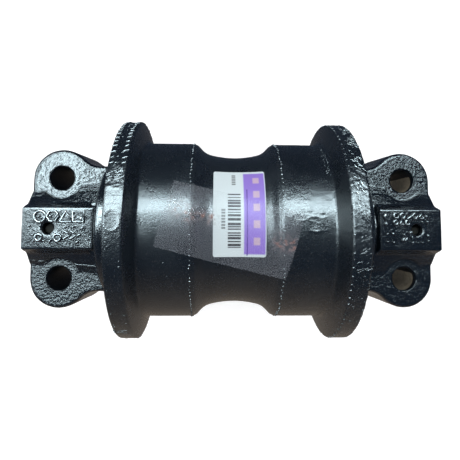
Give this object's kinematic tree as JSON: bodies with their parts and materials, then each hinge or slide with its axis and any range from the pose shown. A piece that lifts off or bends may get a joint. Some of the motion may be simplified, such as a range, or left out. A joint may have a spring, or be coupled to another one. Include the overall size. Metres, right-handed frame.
{
  "type": "track roller",
  "caption": "Flanged track roller with a waisted shell that turns on an oil-filled fixed shaft held by cast bolt-on end collars.",
  "frame": {"origin": "on the shaft's axis, half-way between the two flanges, which is the centre of the object's box", "axes": "+X along the shaft towards the end with the oil plug, +Z away from the track frame's mounting plane, towards the bolt seats and the track chain, +Y across the bolt pattern"},
  "size_m": [0.295, 0.158, 0.158],
  "materials": {
    "shell_paint": "gloss near-black paint over forged and turned steel",
    "collar_paint": "gloss near-black paint over a rough casting",
    "shaft_steel": "ground and induction-hardened steel",
    "pin_steel": "turned steel",
    "bush_bronze": "steel-backed bronze, machined",
    "seal_iron": "lapped alloy iron",
    "seal_rubber": "black nitrile rubber",
    "washer_copper": "soft copper",
    "label_paper": null,
    "tape_film": "clear film"
  },
  "bodies": {
    "axle": {"shaft": "shaft_steel", "collar_left": "collar_paint", "collar_right": "collar_paint", "collar_seal_ring_left": "seal_iron", "collar_seal_ring_right": "seal_iron", "collar_toric_ring_left": "seal_rubber", "collar_toric_ring_right": "seal_rubber", "shaft_o_ring_left": "seal_rubber", "shaft_o_ring_right": "seal_rubber", "lock_pin_left": "pin_steel", "lock_pin_right": "pin_steel", "oil_plug": "pin_steel", "oil_plug_washer": "washer_copper"},
    "roller": {"shell_half_left": "shell_paint", "shell_half_right": "shell_paint", "bush_left": "bush_bronze", "bush_right": "bush_bronze", "shell_seal_ring_left": "seal_iron", "shell_seal_ring_right": "seal_iron", "shell_toric_ring_left": "seal_rubber", "shell_toric_ring_right": "seal_rubber", "barcode_label": "label_paper", "clear_tape": "tape_film"}
  },
  "joints": [
    {"name": "roller_spin", "type": "hinge", "parent": "axle", "child": "roller", "pos_m": [0, 0, 0], "axis": [1, 0, 0], "continuous": true}
  ]
}
